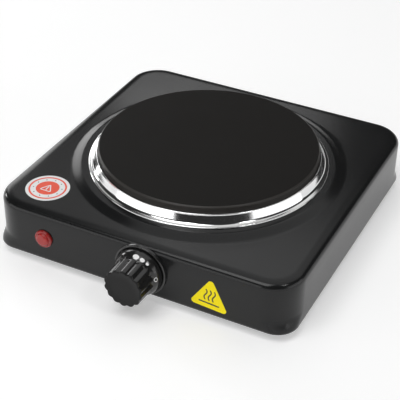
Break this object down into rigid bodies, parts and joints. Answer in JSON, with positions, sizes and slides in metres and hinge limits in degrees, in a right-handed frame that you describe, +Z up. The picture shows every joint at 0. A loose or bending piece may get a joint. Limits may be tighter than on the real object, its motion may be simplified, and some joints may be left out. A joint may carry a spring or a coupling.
{
  "type": "hot plate burner",
  "caption": "Countertop electric burner: square black steel housing, round cast-iron plate in a chrome spill ring, front control knob and red pilot lamp.",
  "frame": {"origin": "on the worktop, below the middle of the whole burner's outline, knob and cord gland included", "axes": "+Z up, -Y towards the control side with the knob and the lamp, +X to the right of a cook who faces the knob"},
  "size_m": [0.256, 0.285, 0.0683],
  "materials": {
    "black_enamel": "semi-gloss",
    "zinc_sheet": "satin galvanised sheet",
    "cast_plate": "matt heat-resistant coating",
    "chrome_ring": "mirror",
    "gloss_black": "gloss",
    "red_lens": "clear gloss",
    "clear_glass": "clear",
    "nylon_black": "matt",
    "nylon_white": "matt",
    "foot_rubber": "matt",
    "steel_fastener": "zinc plated",
    "spring_steel": "plain",
    "brass_part": "plain",
    "steatite": "matt",
    "magnesia": "rough",
    "coil_wire": "oxidised",
    "lead_red": "matt braided sleeve",
    "lead_blue": "matt",
    "lead_white": "matt glass sleeve",
    "lead_green": "matt",
    "label_white": "satin film",
    "label_yellow": "satin film"
  },
  "bodies": {
    "burner": {"housing_shell": "black_enamel", "base_cover": "zinc_sheet", "cover_brackets": "zinc_sheet", "base_screws": "steel_fastener", "rubber_feet": "foot_rubber", "foot_screws": "steel_fastener", "foot_nuts": "steel_fastener", "hot_plate": "cast_plate", "insulating_fill": "magnesia", "heating_coils": "coil_wire", "underside_disc": "zinc_sheet", "plate_terminal_block": "steatite", "plate_terminals": "spring_steel", "heat_shield": "zinc_sheet", "clamp_bar": "zinc_sheet", "clamp_washer": "steel_fastener", "clamp_nut": "steel_fastener", "centre_stud": "steel_fastener", "spill_ring": "chrome_ring", "thermostat_frame": "zinc_sheet", "thermostat_bush": "brass_part", "thermostat_screws": "steel_fastener", "thermostat_insulators": "steatite", "pressure_blade": "spring_steel", "contact_blade": "spring_steel", "bimetal_blade": "spring_steel", "blade_rivet": "steel_fastener", "contact_buttons": "brass_part", "thermostat_tabs": "brass_part", "dial_plate": "gloss_black", "pilot_lens": "red_lens", "neon_bulb": "clear_glass", "lamp_back_cap": "nylon_white", "lamp_retainer": "spring_steel", "cord_gland": "nylon_black", "mains_terminal_block": "nylon_white", "terminal_sleeves": "brass_part", "clamp_screws": "steel_fastener", "switch_lead": "lead_red", "element_lead": "lead_white", "neutral_lead": "lead_blue", "lamp_lead": "lead_red", "earth_lead": "lead_green", "earth_lug": "brass_part", "earth_stud": "steel_fastener", "earth_nut": "steel_fastener", "round_label": "label_white", "triangle_label": "label_yellow"},
    "control_knob": {"knob": "gloss_black", "knob_clip": "spring_steel", "thermostat_shaft": "steel_fastener", "shaft_circlip": "spring_steel"},
    "thermostat_pin": {"contact_pin": "steatite"}
  },
  "joints": [
    {"name": "knob_turn", "type": "hinge", "parent": "burner", "child": "control_knob", "pos_m": [0.0069, -0.1145, 0.0298], "axis": [0, 1, 0], "range_deg": [-82, 0]},
    {"name": "pin_travel", "type": "slide", "parent": "burner", "child": "thermostat_pin", "axis": [0, 1, 0], "range_m": [-0.001, 0]}
  ],
  "couplings": [
    {"joint": "pin_travel", "follows": "knob_turn", "m_per_rad": 0.00063}
  ]
}
